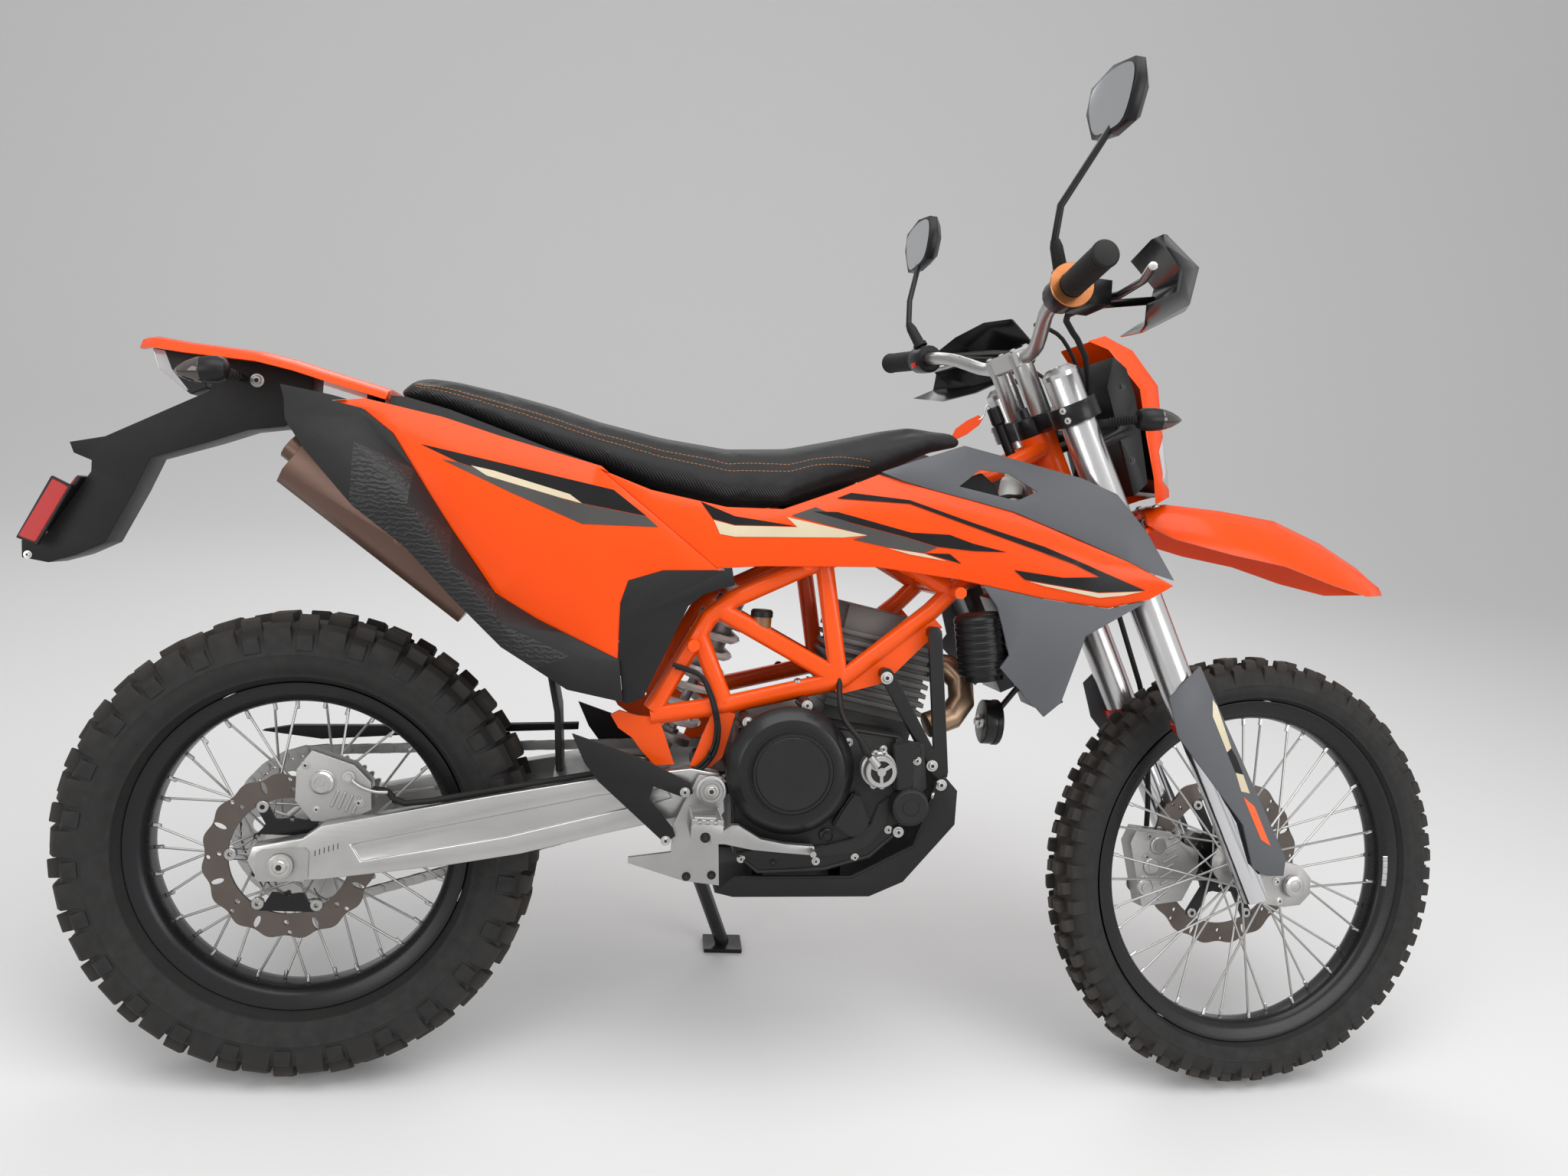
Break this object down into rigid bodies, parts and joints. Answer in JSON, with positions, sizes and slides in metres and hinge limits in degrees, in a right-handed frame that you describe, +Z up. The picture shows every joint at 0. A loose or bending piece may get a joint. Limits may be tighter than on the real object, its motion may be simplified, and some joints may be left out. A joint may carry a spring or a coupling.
{
  "type": "enduro motorcycle",
  "caption": "Enduro motorcycle leaning on its side stand: knobbly spoked wheels, trellis frame, long-travel fork, slim seat and angular bodywork.",
  "frame": {"origin": "middle of the bounding box, on the ground", "axes": "+X forward, +Y to the machine's left, +Z up; the machine leans to its left on its side stand"},
  "size_m": [2.2508, 0.8456, 1.5411],
  "materials": {
    "aluminium": "satin",
    "black_gloss": "gloss",
    "black_metal": "satin",
    "black_plastic": "satin",
    "bronze_metal": "satin",
    "chrome": "polished",
    "grey_metal": "cast",
    "grey_plastic": "satin",
    "orange_paint": "gloss",
    "orange_plastic": "gloss",
    "red_plastic": "gloss",
    "rubber": "matte",
    "seat_cover": "grained",
    "steel": "brushed",
    "tyre": "matte",
    "white_paint": "gloss"
  },
  "bodies": {
    "steering": {"bar_controls": "black_metal", "fork_guards": "grey_plastic", "fork_sliders": "chrome", "fork_tubes": "aluminium", "front_axle": "steel", "front_brake_hose": "rubber", "front_caliper": "aluminium", "front_fender": "orange_plastic", "front_indicators": "black_plastic", "grips": "rubber", "handguards": "black_gloss", "handlebar": "aluminium", "headlight": "black_plastic", "headlight_mask": "orange_plastic", "mirrors": "black_plastic", "triple_clamps": "black_metal"},
    "chassis": {"canister": "black_plastic", "chain": "steel", "chain_guards": "black_plastic", "cylinder": "grey_metal", "engine_brackets": "black_metal", "engine_case": "black_metal", "engine_covers": "black_metal", "foot_levers": "aluminium", "foot_pegs": "aluminium", "grey_shrouds": "grey_plastic", "header_pipe": "bronze_metal", "heel_guards": "black_plastic", "mud_flap": "black_plastic", "plate_holder": "black_plastic", "radiators": "aluminium", "rear_axle": "steel", "rear_brake_hose": "rubber", "rear_caliper": "aluminium", "rear_lamps": "red_plastic", "rear_panels": "orange_plastic", "rear_shock": "grey_metal", "seat": "seat_cover", "shock_spring": "white_paint", "shrouds": "orange_plastic", "side_covers": "black_plastic", "silencer": "bronze_metal", "skid_plate": "black_plastic", "swingarm": "aluminium", "tail_fender": "orange_plastic", "tail_tank": "black_plastic", "trellis_frame": "orange_paint"},
    "front_wheel": {"front_hub": "aluminium", "front_rim": "black_metal", "front_tyre": "tyre"},
    "rear_wheel": {"rear_hub": "aluminium", "rear_rim": "black_metal", "rear_tyre": "tyre"},
    "side_stand": {"side_stand": "black_metal"}
  },
  "joints": [
    {"name": "steering", "type": "hinge", "parent": "chassis", "child": "steering", "pos_m": [0.70992, -0.20991, 0.31361], "axis": [-0.4441, 0.2018, 0.8729], "range_deg": [-46.85, 33.15]},
    {"name": "front_wheel_spin", "type": "hinge", "parent": "steering", "child": "front_wheel", "pos_m": [0.77396, -0.19435, 0.3426], "axis": [-0.1074, 0.9553, -0.2754], "continuous": true},
    {"name": "rear_wheel_spin", "type": "hinge", "parent": "chassis", "child": "rear_wheel", "pos_m": [-0.73058, -0.20425, 0.3415], "axis": [-0.0005, 0.9742, -0.2255], "continuous": true},
    {"name": "side_stand_fold", "type": "hinge", "parent": "chassis", "child": "side_stand", "pos_m": [-0.15868, -0.03667, 0.30137], "axis": [0.2211, 0.8782, 0.4241], "range_deg": [0, 113.4]}
  ]
}
